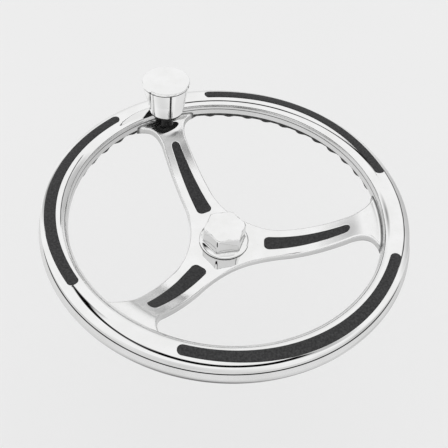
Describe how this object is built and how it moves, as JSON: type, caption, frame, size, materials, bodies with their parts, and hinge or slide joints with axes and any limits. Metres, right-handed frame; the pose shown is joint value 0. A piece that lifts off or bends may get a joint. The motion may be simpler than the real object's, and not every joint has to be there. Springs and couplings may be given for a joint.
{
  "type": "ship steering wheel",
  "caption": "Dished three-spoke stainless boat steering wheel with soft black inserts, finger grips behind the rim, a keyed taper hub with cap nut, and a spinner knob.",
  "frame": {"origin": "centre of the hub boss's rear face, on the helm shaft's axis", "axes": "+Z along the helm shaft towards the helmsman, +X along one spoke; the knob's spoke is at 120 degrees"},
  "size_m": [0.3946, 0.3946, 0.1465],
  "materials": {
    "polished_stainless": "mirror-polished cast stainless steel",
    "machined_stainless": "machined stainless steel",
    "soft_insert": "matt black polyurethane with a fine grain",
    "soft_grip": "matt black polyurethane",
    "gasket_rubber": "smooth black rubber",
    "acetal": "smooth black acetal"
  },
  "bodies": {
    "wheel": {"rim_cap": "polished_stainless", "rim_base": "polished_stainless", "spider": "polished_stainless", "rim_insert_1": "soft_insert", "finger_grip_1": "soft_grip", "spoke_insert_1": "soft_insert", "rim_insert_2": "soft_insert", "finger_grip_2": "soft_grip", "spoke_insert_2": "soft_insert", "rim_insert_3": "soft_insert", "finger_grip_3": "soft_grip", "spoke_insert_3": "soft_insert", "hub_boss": "machined_stainless", "hub_washer": "machined_stainless", "cap_nut_gasket": "gasket_rubber", "cap_nut": "polished_stainless", "knob_base": "acetal", "knob_bolt": "machined_stainless"},
    "knob": {"knob_bush_lower": "acetal", "knob_bush_upper": "acetal", "knob_washer": "machined_stainless", "knob_locknut": "machined_stainless", "knob_body": "polished_stainless", "knob_cap": "polished_stainless"}
  },
  "joints": [
    {"name": "knob_spin", "type": "hinge", "parent": "wheel", "child": "knob", "pos_m": [-0.08, 0.13856, 0.105], "axis": [0, 0, 1], "continuous": true}
  ]
}
